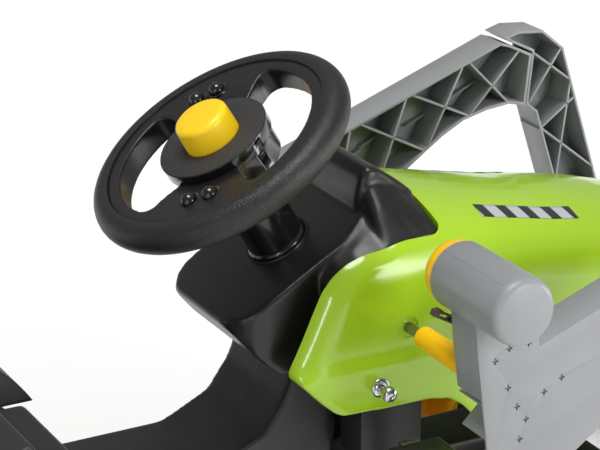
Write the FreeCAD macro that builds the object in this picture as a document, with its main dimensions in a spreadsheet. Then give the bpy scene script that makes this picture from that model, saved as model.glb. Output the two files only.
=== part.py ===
import FreeCAD, Part
import math
import os
import Sketcher
from FreeCAD import Rotation, Vector

# Ride-on pedal digger.  +X is forward, +Y is the rider's left, +Z is up and the
# wheels stand on z = 0.  Every length is in millimetres.

doc = FreeCAD.newDocument("ride_on_digger")
sheet = doc.addObject("Spreadsheet::Sheet", "Sizes")
nodes = []
rows = []


class Size:
    """A length together with the sheet expression it is worked out from."""

    def __init__(self, value, text):
        self.value = float(value)
        self.text = text

    def __add__(self, other):
        other = as_size(other)
        return Size(self.value + other.value, "(%s + %s)" % (self.text, other.text))

    def __sub__(self, other):
        other = as_size(other)
        return Size(self.value - other.value, "(%s - %s)" % (self.text, other.text))

    def __mul__(self, other):
        other = as_size(other)
        return Size(self.value * other.value, "(%s * %s)" % (self.text, other.text))

    def __truediv__(self, other):
        other = as_size(other)
        return Size(self.value / other.value, "(%s / %s)" % (self.text, other.text))

    def __neg__(self):
        return Size(-self.value, "(0 - %s)" % self.text)

    __radd__ = __add__
    __rmul__ = __mul__

    def __rsub__(self, other):
        return as_size(other) - self


def as_size(value):
    if isinstance(value, Size):
        return value
    return Size(value, "%.4f" % value)


def size(word, value, note):
    """Write one driving dimension into the sheet and hand it back."""
    rows.append(word)
    row = len(rows)
    sheet.set("A%d" % row, note)
    sheet.set("B%d" % row, "%.4f" % value)
    sheet.setAlias("B%d" % row, word)
    return Size(value, "Sizes." + word)


def bind(thing, prop, value):
    """Set a property now and tie it to the sheet for later changes."""
    value = as_size(value)
    if "." not in prop:
        setattr(thing, prop, value.value)
    thing.setExpression(prop, value.text)


def place(thing, at, lean=None, turn=None):
    """Put a thing at a point; lean tips it back about Y, turn lays its Z along an axis."""
    if lean is not None:
        thing.Placement.Rotation = Rotation(Vector(0, -1, 0), lean.value)
    if turn == "y":
        thing.Placement.Rotation = Rotation(Vector(1, 0, 0), -90)
    if turn == "x":
        thing.Placement.Rotation = Rotation(Vector(0, 1, 0), 90)
    for letter, value in zip("xyz", at):
        bind(thing, "Placement.Base." + letter, value)
    if lean is not None:
        thing.setExpression("Placement.Rotation.Angle", lean.text + " * 1 deg")


class Piece:
    """One sub-part: a body whose features all take their sizes from the sheet."""

    def __init__(self, name, at=(0, 0, 0), lean=None, node=True):
        self.name = name
        self.count = 0
        self.body = doc.addObject("PartDesign::Body", name)
        self.body.Label = name
        self.body.AllowCompound = True
        place(self.body, at, lean)
        if node:
            nodes.append((name, self.body))

    def new(self, kind, word):
        self.count += 1
        return self.body.newObject(kind, "%s_%s_%d" % (self.name, word, self.count))

    def sketch(self, plane, loops, circles=()):
        """Closed outlines on one of the body's own origin planes."""
        sk = self.new("Sketcher::SketchObject", "outline")
        role = plane + "_Plane"
        origin = [f for f in self.body.Origin.OriginFeatures if f.Role == role][0]
        sk.AttachmentSupport = (origin, "")
        sk.MapMode = "FlatFace"
        names = 0
        for loop in loops:
            first = sk.GeometryCount
            pts = [(as_size(a), as_size(b)) for a, b in loop]
            for i, (a, b) in enumerate(pts):
                c, d = pts[(i + 1) % len(pts)]
                start = Vector(a.value, b.value, 0)
                end = Vector(c.value, d.value, 0)
                sk.addGeometry(Part.LineSegment(start, end), False)
            for i in range(len(pts)):
                after = first + (i + 1) % len(pts)
                sk.addConstraint(Sketcher.Constraint("Coincident", first + i, 2, after, 1))
            for i, pair in enumerate(pts):
                for kind, value in zip(("DistanceX", "DistanceY"), pair):
                    c = sk.addConstraint(Sketcher.Constraint(kind, -1, 1, first + i, 1, value.value))
                    names += 1
                    sk.renameConstraint(c, "n%d" % names)
                    sk.setExpression(".Constraints.n%d" % names, value.text)
        for a, b, radius in circles:
            a, b, radius = as_size(a), as_size(b), as_size(radius)
            centre = Vector(a.value, b.value, 0)
            g = sk.addGeometry(Part.Circle(centre, Vector(0, 0, 1), radius.value), False)
            for args, value in (
                (("DistanceX", -1, 1, g, 3), a),
                (("DistanceY", -1, 1, g, 3), b),
                (("Radius", g), radius),
            ):
                c = sk.addConstraint(Sketcher.Constraint(*args, value.value))
                names += 1
                sk.renameConstraint(c, "n%d" % names)
                sk.setExpression(".Constraints.n%d" % names, value.text)
        return sk

    def pad(self, plane, depth, loops=(), circles=()):
        """Extrude outlines, half the depth to each side of the plane."""
        f = self.new("PartDesign::Pad", "pad")
        f.Profile = self.sketch(plane, loops, circles)
        f.Midplane = True
        bind(f, "Length", depth)
        doc.recompute()
        return f

    def pocket(self, plane, depth, loops=(), circles=()):
        """Cut outlines away, half the depth to each side of the plane."""
        f = self.new("PartDesign::Pocket", "pocket")
        f.Profile = self.sketch(plane, loops, circles)
        f.Midplane = True
        bind(f, "Length", depth)
        doc.recompute()
        return f

    def turned(self, loop):
        """Spin an outline of (radius, y) points about the body's Y axis."""
        f = self.new("PartDesign::Revolution", "turned")
        sk = self.sketch("XY", [loop])
        f.Profile = sk
        f.ReferenceAxis = (sk, ["V_Axis"])
        f.Angle = 360
        doc.recompute()
        return f

    def box(self, x, y, z, cut=False):
        """A block between pairs of x, y and z."""
        f = self.new("PartDesign::%sBox" % ("Subtractive" if cut else "Additive"), "block")
        for prop, pair in (("Length", x), ("Width", y), ("Height", z)):
            bind(f, prop, as_size(pair[1]) - pair[0])
        place(f, (x[0], y[0], z[0]))
        doc.recompute()
        return f

    def rod(self, radius, at, length, along="z", cut=False):
        """A round bar starting at a point and running along one axis."""
        f = self.new("PartDesign::%sCylinder" % ("Subtractive" if cut else "Additive"), "rod")
        bind(f, "Radius", radius)
        bind(f, "Height", length)
        place(f, at, turn=along)
        doc.recompute()
        return f

    def ring(self, big, small, at=(0, 0, 0)):
        """A round-section ring about the body's Z axis."""
        f = self.new("PartDesign::AdditiveTorus", "ring")
        bind(f, "Radius1", big)
        bind(f, "Radius2", small)
        place(f, at)
        doc.recompute()
        return f

    def dome(self, radius, at):
        """The upper half of a ball."""
        f = self.new("PartDesign::AdditiveSphere", "dome")
        bind(f, "Radius", radius)
        f.Angle1 = 0
        place(f, at)
        doc.recompute()
        return f

    def round_edges(self, radius, along, keep=None):
        """Fillet the straight edges running along one axis."""
        tip = self.body.Tip
        picked = []
        for i, edge in enumerate(tip.Shape.Edges):
            if edge.Curve.TypeId != "Part::GeomLine":
                continue
            way = edge.tangentAt(edge.FirstParameter)
            if abs(getattr(way, along)) < 0.99:
                continue
            if keep is None or keep(edge.CenterOfMass):
                picked.append("Edge%d" % (i + 1))
        f = self.new("PartDesign::Fillet", "round")
        f.Base = (tip, picked)
        bind(f, "Radius", radius)
        doc.recompute()
        return f

    def hollow(self, wall, keep):
        """Turn the solid into a shell, open at the faces that keep() picks."""
        tip = self.body.Tip
        picked = []
        for i, face in enumerate(tip.Shape.Faces):
            if face.Surface.TypeId != "Part::GeomPlane":
                continue
            if keep(face.normalAt(0, 0), face.CenterOfMass):
                picked.append("Face%d" % (i + 1))
        f = self.new("PartDesign::Thickness", "shell")
        f.Base = (tip, picked)
        f.Reversed = True
        f.Join = 1
        bind(f, "Value", wall)
        doc.recompute()
        return f


def mirrored(name, piece, node=True):
    """The same piece on the other side of the vehicle."""
    f = doc.addObject("Part::Mirroring", name)
    f.Label = name
    f.Source = piece.body
    f.Normal = Vector(0, 1, 0)
    if node:
        nodes.append((name, f))
    return f


def both_sides(name, piece):
    """One node holding a piece and its mirror image."""
    other = mirrored(name + "_other_side", piece, node=False)
    f = doc.addObject("Part::Compound", name)
    f.Label = name
    f.Links = [piece.body, other]
    nodes.append((name, f))
    return f


# ---------------------------------------------------------------- the sheet
wall = size("wall", 3, "wall of the moulded panels")
fit = size("fit", 0.05, "radial play of a shaft in its bore")
gap = size("gap", 0.3, "gap between parts that pass each other")

frame_half = size("frame_half", 62, "half width of the main frame")
frame_low = size("frame_low", 120, "underside of the main frame")
frame_top = size("frame_top", 262, "top of the frame under the seat")
saddle_top = size("saddle_top", 213, "top of the frame where the legs go over")
frame_rear = size("frame_rear", -560, "rear end of the main frame")
neck_front = size("neck_front", -66, "front face of the neck")
neck_top = size("neck_top", 300, "top of the neck under the dashboard")
beam_half = size("beam_half", 35, "half width of the front beam")
beam_low = size("beam_low", 130, "underside of the front beam")
beam_top = size("beam_top", 165, "top of the front beam")
beam_front = size("beam_front", 240, "front end of the front beam")

hood_half = size("hood_half", 118, "half width of the bonnet")
hood_nose = size("hood_nose", 330, "front of the bonnet")
hood_skirt = size("hood_skirt", 205, "lower edge of the bonnet in front")
cowl_half = size("cowl_half", 72, "half width of the dashboard")

wheel_x = size("wheel_x", -150, "steering wheel centre, x")
wheel_z = size("wheel_z", 500, "steering wheel centre, z")
tilt = size("tilt", 30.6, "backward tilt of the steering column in degrees")
rim_out = size("rim_out", 130, "outer radius of the steering wheel")
rim_tube = size("rim_tube", 15.5, "radius of the rim section")
hub_r = size("hub_r", 54, "radius of the steering hub disc")
hub_up = size("hub_up", 17, "hub disc top above the rim plane")
hub_down = size("hub_down", 13, "hub disc bottom below the rim plane")
button_r = size("button_r", 27, "radius of the horn button")
button_up = size("button_up", 43, "horn button top above the rim plane")
press = size("press", 4, "travel of the horn button")
sleeve_r = size("sleeve_r", 29, "radius of the sleeve under the wheel")
panel_down = size("panel_down", 114, "dashboard panel below the rim plane")
column_r = size("column_r", 6, "radius of the steering column")
column_down = size("column_down", 446, "column end below the rim plane")
arm_reach = size("arm_reach", 33, "length of the drop arm")
web_r = size("web_r", 106, "outer radius of the web disc")
window_in = size("window_in", 62, "inner radius of the wheel openings")
window_out = size("window_out", 97, "outer radius of the wheel openings")
dome_r = size("dome_r", 7.5, "radius of the hub domes")
dome_at = size("dome_at", 82, "distance of the hub domes from the middle")

front_x = size("front_x", 215, "front axle, x")
front_r = size("front_r", 95, "front wheel radius")
front_in = size("front_in", 145, "inner side of a front wheel")
front_out = size("front_out", 205, "outer side of a front wheel")
king_y = size("king_y", 118, "kingpin, y")
king_r = size("king_r", 6, "radius of kingpin and stub axle")
knuckle_reach = size("knuckle_reach", 45, "length of the steering arm")
link_z = size("link_z", 86, "underside of the tie rods")
link_t = size("link_t", 6, "thickness of the tie rods")

rear_x = size("rear_x", -430, "rear axle, x")
rear_r = size("rear_r", 145, "rear wheel radius")
rear_in = size("rear_in", 190, "inner side of a rear wheel")
rear_out = size("rear_out", 265, "outer side of a rear wheel")
rear_shaft = size("rear_shaft", 7, "radius of the rear axle")

crank_x = size("crank_x", -25, "pedal crank, x")
crank_z = size("crank_z", 150, "pedal crank, z")
crank_r = size("crank_r", 6, "radius of the crank axle")
crank_reach = size("crank_reach", 75, "length of a crank arm")
crank_arm_y = size("crank_arm_y", 130, "inner side of a crank arm")
pedal_pin = size("pedal_pin", 5, "radius of a pedal pin")
pitch_front = size("pitch_front", 32.55, "pitch radius of the 16 tooth sprocket")
pitch_rear = size("pitch_rear", 24.53, "pitch radius of the 12 tooth sprocket")
chain_y = size("chain_y", 81.5, "middle of the chain, y")

loader_x = size("loader_x", -18, "loader pivot, x")
loader_z = size("loader_z", 342, "loader pivot, z")
loader_r = size("loader_r", 5, "radius of the loader axle")
arm_in = size("arm_in", 233, "inner side of a loader arm")
arm_out = size("arm_out", 273, "outer side of a loader arm")
grip_x = size("grip_x", -25, "handle barrel, x")
grip_z = size("grip_z", 429, "handle barrel, z")
grip_r = size("grip_r", 31, "radius of a handle barrel")
grip_in = size("grip_in", 211, "inner end of a handle barrel")
grip_out = size("grip_out", 316, "outer end of a handle barrel")
tip_x = size("tip_x", 480, "bucket pivot, x")
tip_z = size("tip_z", 105, "bucket pivot, z")
tip_r = size("tip_r", 6, "radius of a bucket pin")
bucket_half = size("bucket_half", 226, "half width of the bucket")
bucket_front = size("bucket_front", 600, "front edge of the bucket")
bucket_low = size("bucket_low", 5, "underside of the bucket")

seat_half = size("seat_half", 112, "half width of the seat")
seat_low = size("seat_low", 272, "underside of the seat")
seat_back = size("seat_back", 470, "top of the seat back")
doc.recompute()

arm_mid = (arm_in + arm_out) / 2
arm_width = arm_out - arm_in


# ---------------------------------------------------------------- the frame
def build_main_frame():
    """Blow-moulded main frame, open below, with the front beam and cross member."""
    p = Piece("main_frame")
    p.pad("XZ", frame_half * 2, [[
        (frame_rear, frame_low), (neck_front, frame_low), (neck_front, neck_top),
        (-104, neck_top), (-118, 266), (-140, 236), (-190, saddle_top),
        (-300, saddle_top), (-330, frame_top), (frame_rear, frame_top),
    ]])
    p.pocket("XZ", frame_half * 2 - wall * 2, [[
        (frame_rear + wall, frame_low - 1), (neck_front - wall * 2, frame_low - 1),
        (neck_front - wall * 2, neck_top - wall), (-101, neck_top - wall), (-115, 263),
        (-137, 232), (-190, saddle_top - wall), (-302, saddle_top - wall),
        (-332, frame_top - wall), (frame_rear + wall, frame_top - wall),
    ]])
    p.box((neck_front - wall * 2, beam_front), (-beam_half, beam_half), (beam_low, beam_top))
    p.box((front_x - 20, front_x + 20), (-(king_y + 12), king_y + 12), (105, 145))
    p.rod(rear_shaft + fit, (rear_x, -80, rear_r), 160, "y", cut=True)
    p.rod(crank_r + fit, (crank_x, -40, crank_z), 80, "y", cut=True)
    p.rod(king_r + fit, (front_x, king_y, 100), 50, cut=True)
    p.rod(king_r + fit, (front_x, -king_y, 100), 50, cut=True)
    bore = p.rod(column_r + fit, (0, 0, 0), 70, cut=True)
    bore.Placement.Rotation = Rotation(Vector(0, -1, 0), tilt.value)
    bore.setExpression("Placement.Rotation.Angle", tilt.text + " * 1 deg")
    bore.setExpression("Placement.Base.x", "Sizes.wheel_x + 440 * sin(Sizes.tilt * 1 deg)")
    bore.setExpression("Placement.Base.z", "Sizes.wheel_z - 440 * cos(Sizes.tilt * 1 deg)")
    doc.recompute()


def build_cowl():
    """Black dashboard cowl: a moulded shell with a raised lip round the column."""
    p = Piece("dashboard_cowl")
    p.pad("XZ", cowl_half * 2, [[
        (neck_front, neck_top), (-126, neck_top), (-150, 322), (-173, 352), (-163, 361),
        (-62, 418), (-43, 446), (-25, 477), (-1, 466), (36, 442), (36, 372), (neck_front, 372),
    ]])
    p.round_edges(8, "y", lambda c: (c.z > 373 and c.x < 30) or c.x < -140)
    p.hollow(wall, lambda n, c: (n.z < -0.9 and c.x > -60) or (n.x > 0.9 and c.z < 371))
    # the lip, the hollow inside it and the hole for the column: radius, start, length
    for radius, start, length, cut in (
        (33, panel_down - 5, 6, False), (30, panel_down - 5, 5, True), (9, panel_down - 10, 20, True),
    ):
        f = p.rod(radius, (0, 0, 0), 1, cut=cut)
        bind(f, "Height", length)
        f.Placement.Rotation = Rotation(Vector(0, -1, 0), tilt.value)
        f.setExpression("Placement.Rotation.Angle", tilt.text + " * 1 deg")
        depth = as_size(start) + length
        f.setExpression("Placement.Base.x", "Sizes.wheel_x + %s * sin(Sizes.tilt * 1 deg)" % depth.text)
        f.setExpression("Placement.Base.z", "Sizes.wheel_z - %s * cos(Sizes.tilt * 1 deg)" % depth.text)
        doc.recompute()


def build_hood():
    """Lime bonnet: a thin shell that holds the dashboard in its rear pocket."""
    p = Piece("hood_shell")
    p.pad("XZ", hood_half * 2, [[
        (-141, 326), (-122, 302), (-106, 282), (-90, 269), (-58, 265), (6, 264), (34, 258),
        (57, 234), (72, hood_skirt), (hood_nose, hood_skirt), (hood_nose, 330), (312, 385),
        (270, 402), (168, 418), (98, 435), (36, 442), (2, 424), (-24, 417), (-56, 411),
        (-81, 403), (-97, 382), (-107, 365), (-122, 343),
    ]])
    p.hollow(wall, lambda n, c: n.z < -0.2)
    p.pocket("XZ", cowl_half * 2 + gap * 2, [[
        (-200, 290), (neck_front + 6, 290), (neck_front + 6, 355),
        (36 + gap, 355), (36 + gap, 490), (-200, 490),
    ]])
    p.rod(8.5, (loader_x, -130, loader_z), 260, "y", cut=True)
    p.rod(4, (-48, -130, 288), 260, "y", cut=True)


def build_hood_trim():
    """Grille plate and lamps on the nose of the bonnet."""
    p = Piece("front_grille")
    p.box((hood_nose, hood_nose + 6), (-74, 74), (225, 325))
    for i in range(6):
        z = 235 + i * 15
        p.box((hood_nose + 2, hood_nose + 7), (-66, 66), (z, z + 7), cut=True)
    lamp = Piece("headlight_lens", node=False)
    lamp.rod(16, (hood_nose, 95, 290), 9, "x")
    both_sides("headlight_lenses", lamp)


def build_loader_mount():
    """Carrier inside the bonnet, the loader axle and its yellow spacers."""
    p = Piece("loader_carrier")
    side = hood_half - wall
    p.box((neck_front, 5), (-side, side), (268, neck_top))
    p.box((-45, 5), (95, side), (neck_top, 366))
    p.box((-45, 5), (-side, -95), (neck_top, 366))
    for low, high in ((frame_half + 4, 105), (-105, -66)):
        p.box((-60, 5), (low, high), (210, 270))
    p.box((neck_front + 4, -2), (-16, 16), (260, neck_top + 5), cut=True)
    p.rod(loader_r, (loader_x, -120, loader_z), 240, "y", cut=True)
    p.rod(4, (-48, 100, 288), 20, "y", cut=True)
    p.rod(4, (-48, -120, 288), 20, "y", cut=True)

    axle = Piece("loader_axle")
    axle.rod(loader_r, (loader_x, -268, loader_z), 536, "y")

    tube = Piece("loader_spacer", node=False)
    tube.rod(10.5, (loader_x, hood_half + 25, loader_z), arm_in - gap - hood_half - 25, "y")
    tube.rod(loader_r, (loader_x, hood_half, loader_z), arm_in - hood_half, "y", cut=True)
    both_sides("loader_spacers", tube)


def build_hood_bolts():
    """Bolt, washer and domed nut each side, holding the bonnet to the carrier."""
    bolt = Piece("hood_bolt", node=False)
    bolt.rod(4, (-48, 100, 288), 34, "y")
    bolt.rod(7, (-48, 131, 288), 9, "y")
    both_sides("hood_bolts", bolt)
    washer = Piece("hood_washer", node=False)
    washer.rod(9, (-48, hood_half, 288), 2, "y")
    washer.rod(4, (-48, hood_half - 1, 288), 4, "y", cut=True)
    both_sides("hood_washers", washer)


# ---------------------------------------------------------------- the steering
def sector(inner, outer, start, end, steps=8):
    """Outline of a ring sector between two angles in degrees."""
    loop = []
    for radius, order in ((outer, range(steps + 1)), (inner, range(steps, -1, -1))):
        for i in order:
            angle = math.radians(start + (end - start) * i / steps)
            loop.append((radius * math.cos(angle), radius * math.sin(angle)))
    return loop


def build_steering():
    """Wheel, hub, domes, sleeve, column and drop arm, all about the leaning column."""
    at = (wheel_x, 0, wheel_z)
    wheel = Piece("steering_wheel", at, tilt)
    wheel.ring(rim_out - rim_tube, rim_tube)
    wheel.rod(web_r, (0, 0, -5), 10)
    wheel.rod(hub_r, (0, 0, -20), 40, cut=True)
    wheel.pocket("XY", 40, [
        sector(window_in, window_out, 94, 196),
        sector(window_in, window_out, -100, 28),
    ])

    hub = Piece("hub_disc", at, tilt)
    hub.rod(hub_r, (0, 0, -hub_down), hub_down + hub_up)
    hub.rod(button_r + gap, (0, 0, 5), hub_up, cut=True)
    hub.rod(column_r, (0, 0, -hub_down - 1), hub_down + 4, cut=True)

    domes = Piece("hub_domes", at, tilt)
    for degrees in (58, 72, 222, 236):
        a = math.radians(degrees)
        domes.dome(dome_r, (dome_at * math.cos(a), dome_at * math.sin(a), 5))

    button = Piece("horn_button", at, tilt)
    button.rod(button_r, (0, 0, press + 5 + gap), button_up - press - 5 - gap)

    sleeve = Piece("steering_sleeve", at, tilt)
    sleeve.rod(sleeve_r, (0, 0, 1 - panel_down), panel_down - hub_down - 1)
    sleeve.rod(column_r, (0, 0, -panel_down), panel_down, cut=True)

    column = Piece("steering_column", at, tilt)
    column.rod(column_r, (0, 0, -column_down), column_down + 3)

    arm = Piece("drop_arm", at, tilt)
    arm.box((-arm_reach - 8, 9), (-9, 9), (5 - 3 - column_down, 5 + 3 - column_down))
    arm.rod(column_r, (0, 0, -column_down - 1), 12, cut=True)
    arm.rod(3.5, (-arm_reach, 0, -column_down - 18), 20)


def build_tie_rods():
    """Flat tie rods from the drop arm to both steering arms, with slotted eyes."""
    p = Piece("tie_rods", (0, 0, link_z + link_t / 2))
    p.pad("XY", link_t, [[(38, -15), (75, -15), (75, 15), (38, 15)]])
    for side in (1, -1):
        p.pad("XY", link_t, [[
            (60, side * 4), (70, side * -2), (176, side * 106), (164, side * 116),
        ]])
        p.rod(11, (171.5, king_y * side, -link_t / 2), link_t)
        p.box((166, 177.5), (king_y * side - 4.6, king_y * side + 4.6), (-4, 4), cut=True)
    p.box((47.5, 65.5), (-4.8, 4.8), (-4, 4), cut=True)


def build_knuckle():
    """Bent steel kingpin and stub axle with its steering arm, and the end cap."""
    p = Piece("steering_knuckle_left")
    p.rod(king_r, (front_x, king_y, 74), 81)
    p.rod(king_r, (front_x, king_y, front_r), front_out - king_y + 5, "y")
    p.rod(11, (front_x, front_in - 6, front_r), 7 - gap, "y")
    p.rod(9, (front_x, king_y, 100), 5 - gap)
    p.rod(10, (front_x, king_y, 145 + gap), 3)
    p.box((front_x - knuckle_reach - 8, front_x + 7), (king_y - 8, king_y + 8), (74, 80))
    p.rod(3.5, (front_x - knuckle_reach, king_y, 80), 16)
    mirrored("steering_knuckle_right", p)

    cap = Piece("front_cap_left")
    cap.rod(13, (front_x, front_out + gap, front_r), 9, "y")
    cap.rod(king_r, (front_x, front_out, front_r), 5, "y", cut=True)
    mirrored("front_cap_right", cap)


# ---------------------------------------------------------------- the wheels
def build_wheel(word, x, radius, inner, outer, bore_left, bore_right):
    """A tyre and its hub on each side; the bores differ when one side is keyed."""
    rim = radius * 0.66
    tyre = Piece(word + "_tyre_left", (x, 0, radius))
    tyre.turned([
        (rim, inner + 4), (radius * 0.86, inner), (radius * 0.96, inner + 5), (radius, inner + 15),
        (radius, outer - 15), (radius * 0.96, outer - 5), (radius * 0.86, outer), (rim, outer - 4),
        (rim, outer - 12), (radius * 0.85, outer - 7), (radius * 0.92, outer - 11),
        (radius - 6, outer - 18), (radius - 6, inner + 18), (radius * 0.92, inner + 11),
        (radius * 0.85, inner + 7), (rim, inner + 12),
    ])
    mirrored(word + "_tyre_right", tyre)
    for side, bore in ((1, bore_left), (-1, bore_right)):
        name = word + ("_hub_left" if side > 0 else "_hub_right")
        hub = Piece(name, (x, 0, radius))
        hub.turned([
            (bore, side * (inner + 1)), (bore, side * (outer - gap)), (20, side * (outer - gap)),
            (24, side * (outer - 15)), (rim - 10, side * (outer - 15)), (rim - 6, side * (outer - 4)),
            (rim, side * (outer - 4)), (rim, side * (inner + 4)), (rim - 5, side * (inner + 4)),
            (rim - 7, side * (outer - 22)), (24, side * (outer - 22)), (18, side * (inner + 1)),
        ])


def build_rear_axle():
    """Rear axle, its sprocket and the caps on both ends."""
    axle = Piece("rear_axle")
    axle.rod(rear_shaft, (rear_x, -rear_out - 3, rear_r), rear_out * 2 + 6, "y")
    cap = Piece("rear_axle_cap", node=False)
    cap.rod(16, (rear_x, rear_out + gap, rear_r), 8, "y")
    cap.rod(rear_shaft, (rear_x, rear_out - 1, rear_r), 4, "y", cut=True)
    both_sides("rear_axle_caps", cap)


def build_sprocket(name, x, z, pitch, teeth, bore):
    """Flat sprocket with a round seat cut for every roller."""
    p = Piece(name, (x, chain_y, z))
    p.pad("XZ", 3, circles=[(0, 0, pitch + 2.2)])
    seats = []
    for i in range(teeth):
        angle = 2 * math.pi * i / teeth
        seats.append((pitch * math.cos(angle), pitch * math.sin(angle), 4.0))
    p.pocket("XZ", 5, circles=seats)
    p.pocket("XZ", 5, circles=[(0, 0, bore)])


def stadium(offset, steps=10):
    """Outline round both sprockets, a given distance outside the chain's pitch line."""
    loop = []
    for cx, cz, radius, start in (
        (crank_x, crank_z, pitch_front, -90),
        (rear_x, rear_r, pitch_rear, 90),
    ):
        for i in range(steps + 1):
            angle = math.radians(start + 180 * i / steps)
            loop.append((cx + (radius + offset) * math.cos(angle), cz + (radius + offset) * math.sin(angle)))
    return loop


def build_chain():
    """Roller chain as two side bands and the pins of its straight runs, in its case."""
    p = Piece("chain", (0, chain_y, 0))
    p.pad("XZ", 9, [stadium(4)])
    p.pocket("XZ", 12, [stadium(-4)])
    p.pocket("XZ", 5, [stadium(6)])
    pins = []
    for i in range(12):
        x = -385 + i * 27
        up = (x + 430) / 405.0
        pins.append((x, rear_r + pitch_rear + up * 13.02, 3.2))
        pins.append((x, rear_r - pitch_rear - up * 3.02, 3.2))
    p.pad("XZ", 9, circles=pins)

    case = Piece("chain_case", (0, 0, 0))
    outer = case.pad("XZ", (chain_y + 7) * 2, [stadium(15)])
    case.pocket("XZ", (chain_y + 4.5) * 2, [stadium(12)])
    case.box((-600, 100), (-100, frame_half), (50, 250), cut=True)
    case.rod(12, (crank_x, 60, crank_z), 40, "y", cut=True)
    case.rod(12, (rear_x, 60, rear_r), 40, "y", cut=True)


def build_crank():
    """Pedal crank with opposed arms, its sprocket and the two pedals."""
    p = Piece("pedal_crank")
    p.rod(crank_r, (crank_x, -crank_arm_y - 8, crank_z), crank_arm_y * 2 + 16, "y")
    p.box((crank_x - 10, crank_x + 10), (-crank_arm_y - 8, -crank_arm_y),
          (crank_z - 12, crank_z + crank_reach + 10))
    p.box((crank_x - 10, crank_x + 10), (crank_arm_y, crank_arm_y + 8),
          (crank_z - crank_reach - 10, crank_z + 12))
    p.rod(pedal_pin, (crank_x, -crank_arm_y - 86, crank_z + crank_reach), 80, "y")
    p.rod(pedal_pin, (crank_x, crank_arm_y + 6, crank_z - crank_reach), 80, "y")
    build_sprocket("crank_sprocket", crank_x, crank_z, pitch_front, 16, crank_r)
    for side, word in ((1, "left"), (-1, "right")):
        pedal = Piece("pedal_" + word, (crank_x, side * (crank_arm_y + 48), crank_z - side * crank_reach))
        pedal.box((-30, 30), (-37, 37), (-12, 12))
        pedal.round_edges(6, "y")
        for x in (-24, 12):
            pedal.box((x, x + 12), (-30, 30), (-13, -5), cut=True)
        pedal.rod(pedal_pin + fit, (0, -40, 0), 80, "y", cut=True)


# ---------------------------------------------------------------- seat and rear
def build_fender():
    """Mudguard over a rear wheel with the shelf that carries it."""
    p = Piece("fender_left")
    p.rod(rear_r + 16, (rear_x, 125, rear_r), 137, "y")
    p.rod(rear_r + 13, (rear_x, 128, rear_r), 140, "y", cut=True)
    p.box((-620, -240), (100, 300), (-20, 230), cut=True)
    p.box((rear_x - 40, rear_x + 40), (frame_half, 126), (232, 260))
    mirrored("fender_right", p)


def build_seat():
    """Moulded seat on a plate that slides along the frame."""
    plate = Piece("seat_plate")
    plate.box((-545, -405), (-45, 45), (frame_top + gap, seat_low))
    p = Piece("seat_shell")
    p.pad("XZ", seat_half * 2, [[
        (-555, seat_low), (-405, seat_low), (-380, 292), (-388, 306), (-415, 296), (-512, 294),
        (-538, 316), (-560, 460), (-572, seat_back), (-584, 464), (-576, 330), (-568, 285),
    ]])
    p.pocket("XZ", seat_half * 2 - 8, [[
        (-549, seat_low - 1), (-410, seat_low - 1), (-388, 290), (-414, 290), (-514, 288),
        (-545, 314), (-565, 440), (-571, 440), (-572, 330), (-564, 286),
    ]])


def build_hitch():
    """Tow jaw on the rear of the frame and its drop-in pin."""
    p = Piece("tow_hitch")
    p.box((-600, frame_rear), (-20, 20), (150, 192))
    p.box((-601, -574), (-21, 21), (162, 178), cut=True)
    p.rod(5 + fit, (-587, 0, 140), 60, cut=True)
    pin = Piece("hitch_pin")
    pin.rod(5, (-587, 0, 144), 50)
    pin.rod(9, (-587, 0, 192 + gap), 8)


# ---------------------------------------------------------------- the loader
def bar(x0, z0, x1, z1, half=1.25):
    """Outline of a thin rib between two points."""
    length = math.hypot(x1 - x0, z1 - z0)
    nx = -(z1 - z0) / length * half
    nz = (x1 - x0) / length * half
    return [(x0 + nx, z0 + nz), (x1 + nx, z1 + nz), (x1 - nx, z1 - nz), (x0 - nx, z0 - nz)]


def plus(x, z, reach=5.0, half=1.6):
    """Outline of a plus-shaped hole."""
    steps = [
        (half, reach), (half, half), (reach, half), (reach, -half), (half, -half), (half, -reach),
        (-half, -reach), (-half, -half), (-reach, -half), (-reach, half), (-half, half), (-half, reach),
    ]
    return [(x + a, z + b) for a, b in steps]


def build_loader_arm():
    """Ribbed channel arm, open towards the rider, with the pivot boss and plus holes."""
    p = Piece("loader_arm_left", (0, arm_mid, 0))
    p.pad("XZ", arm_width, [[
        (-28, 262), (58, 262), (183, 349), (210, 368), (235, 385), (262, 399), (291, 406),
        (320, 409), (342, 404), (348, 462), (320, 476), (307, 480), (20, 375),
        (10, grip_z - 22), (-47, grip_z - 22), (-44, 380),
    ]])
    p.hollow(wall, lambda n, c: n.y < -0.9)
    for loops in (
        [bar(132, 415, 214, 371)], [bar(150, 327, 189, 435)], [bar(196, 438, 270, 402)],
        [bar(216, 373, 260, 461)], [bar(268, 464, 320, 410)], [bar(270, 403, 332, 468)],
        [bar(96, 290, 120, 410)], [bar(62, 389, 148, 326)], [bar(60, 264, 64, 389)],
        [bar(-36, 330, 60, 264)], [bar(-32, 296, 60, 388)], [bar(-40, 404, 22, 372)],
    ):
        p.pad("XZ", arm_width - 2, loops)
    p.rod(13, (loader_x, -arm_width / 2, loader_z), arm_width - 1, "y")
    p.rod(loader_r + fit, (loader_x, -arm_width, loader_z), arm_width + 15.5, "y", cut=True)
    p.rod(3, (-15, -arm_width, 388), arm_width + arm_width / 2 - wall, "y", cut=True)
    p.rod(4, (296, -arm_width, 440), arm_width * 2, "y", cut=True)
    p.box((-50, -24), (-arm_width, arm_width / 2 - wall), (255, 334), cut=True)
    for x, z in ((-26, 370), (-12, 379), (-2, 322), (8, 308), (26, 330), (44, 340), (8, 380), (2, 290)):
        f = p.new("PartDesign::Pocket", "plus")
        f.Profile = p.sketch("XZ", [plus(x, z)])
        f.Reversed = True
        bind(f, "Length", arm_width)
        doc.recompute()
    mirrored("loader_arm_right", p)


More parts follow.
